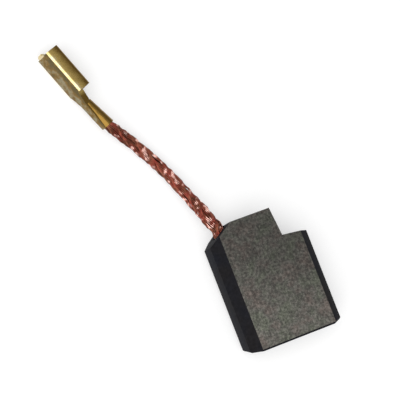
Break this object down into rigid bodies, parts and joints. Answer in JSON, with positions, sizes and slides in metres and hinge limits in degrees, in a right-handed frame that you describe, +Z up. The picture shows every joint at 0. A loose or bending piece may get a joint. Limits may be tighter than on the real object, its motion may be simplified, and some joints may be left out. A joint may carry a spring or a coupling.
{
  "type": "carbon brush",
  "caption": "Bevelled carbon motor brush with a stepped spring seat, a slanting shoulder, a sloped contact end, a flexible copper shunt and a folded push-on terminal.",
  "frame": {"origin": "centre of the carbon block's bounding box, on the wide back face that it lies on", "axes": "+Z up through the block's thickness, +Y along the block from the contact end towards the terminal, +X across the block towards the spring seat"},
  "size_m": [0.0301, 0.0559, 0.0063],
  "materials": {
    "carbon": "ground carbon, dull grey",
    "tamped_powder": "rammed copper powder, rough",
    "copper_strand": "bare copper strands, bright",
    "brass_sheet": "stamped brass sheet, slightly tarnished"
  },
  "bodies": {
    "root": {"carbon_block": "carbon", "tamped_plug": "tamped_powder", "shunt": "copper_strand", "terminal": "brass_sheet"}
  },
  "joints": []
}
